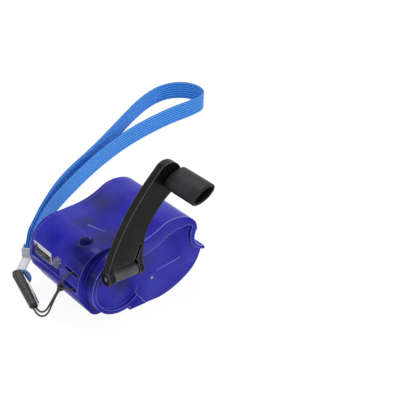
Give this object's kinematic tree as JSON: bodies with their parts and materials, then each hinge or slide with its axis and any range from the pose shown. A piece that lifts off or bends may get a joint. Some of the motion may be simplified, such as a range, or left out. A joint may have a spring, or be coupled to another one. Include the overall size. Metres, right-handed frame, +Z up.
{
  "type": "hand crank phone charger",
  "caption": "Pocket hand-cranked dynamo charger: curved case with a USB-A socket and lamp in its nose, folding crank arm with knob, geared dynamo inside, and a wrist strap on a lanyard.",
  "frame": {"origin": "centre of the case's flat underside", "axes": "+Z up, -X towards the socket nose, -Y towards the crank side; hub and gears turn about Y"},
  "size_m": [0.1844, 0.1738, 0.0654],
  "materials": {
    "blue_plastic": "translucent gloss",
    "black_plastic": "satin",
    "steel": "brushed",
    "plated_steel": "bright",
    "brass": "satin",
    "copper": "enamelled",
    "magnet": "matte",
    "white_nylon": "satin",
    "board_green": "solder resist",
    "black_moulding": "matte",
    "clear_lens": "clear",
    "lamp_blue": "translucent gloss",
    "white_liner": "satin",
    "wire_red": "matte",
    "black_cord": "braided",
    "blue_webbing": "ribbed weave"
  },
  "bodies": {
    "case": {"main_housing": "blue_plastic", "back_cover": "blue_plastic", "case_screws": "steel", "crank_bush": "white_nylon", "gear_axles": "steel", "gear_plate": "steel", "plate_screws": "steel", "motor_screws": "steel", "motor_can": "steel", "motor_end_cap": "black_moulding", "motor_bushes": "brass", "stator_magnets": "magnet", "circuit_board": "board_green", "board_screws": "steel", "usb_shell": "plated_steel", "usb_tongue": "white_liner", "usb_contacts": "brass", "nose_lamp": "clear_lens", "charge_lamp": "lamp_blue", "capacitor": "black_moulding", "diodes": "black_moulding", "regulator": "black_moulding", "inductor": "black_moulding", "motor_wires": "wire_red", "lanyard_cord": "black_cord", "strap_clip": "black_plastic", "clip_spring": "plated_steel", "strap_crimp": "white_liner", "wrist_strap": "blue_webbing"},
    "crank": {"crank_hub": "black_plastic", "crank_clip": "steel", "drive_gear": "white_nylon"},
    "arm": {"crank_arm": "black_plastic", "knob_axle": "steel", "hinge_pin": "steel"},
    "knob": {"crank_knob": "black_plastic"},
    "idler_a": {"gear_a": "white_nylon"},
    "idler_b": {"gear_b": "white_nylon"},
    "rotor": {"rotor_pinion": "brass", "rotor_shaft": "steel", "rotor_core": "steel", "rotor_windings": "copper"}
  },
  "joints": [
    {"name": "crank_spin", "type": "hinge", "parent": "case", "child": "crank", "pos_m": [-0.0115, -0.019, 0.02266], "axis": [0, 1, 0], "continuous": true},
    {"name": "arm_fold", "type": "hinge", "parent": "crank", "child": "arm", "pos_m": [-0.0115, -0.0243, 0.02266], "axis": [1, 0, 0], "range_deg": [0, 180]},
    {"name": "knob_spin", "type": "hinge", "parent": "arm", "child": "knob", "pos_m": [0.01072, -0.03, 0.05877], "axis": [0, 1, 0], "continuous": true},
    {"name": "gear_a_spin", "type": "hinge", "parent": "case", "child": "idler_a", "pos_m": [-0.0107, -0.01, 0.0146], "axis": [0, 1, 0], "continuous": true},
    {"name": "gear_b_spin", "type": "hinge", "parent": "case", "child": "idler_b", "pos_m": [0.00306, -0.008, 0.0135], "axis": [0, 1, 0], "continuous": true},
    {"name": "rotor_spin", "type": "hinge", "parent": "case", "child": "rotor", "pos_m": [0.01458, 0.003, 0.0155], "axis": [0, 1, 0], "continuous": true}
  ],
  "couplings": [
    {"joint": "gear_a_spin", "follows": "crank_spin", "ratio": -1.25},
    {"joint": "gear_b_spin", "follows": "crank_spin", "ratio": 4.5},
    {"joint": "rotor_spin", "follows": "crank_spin", "ratio": -15}
  ]
}
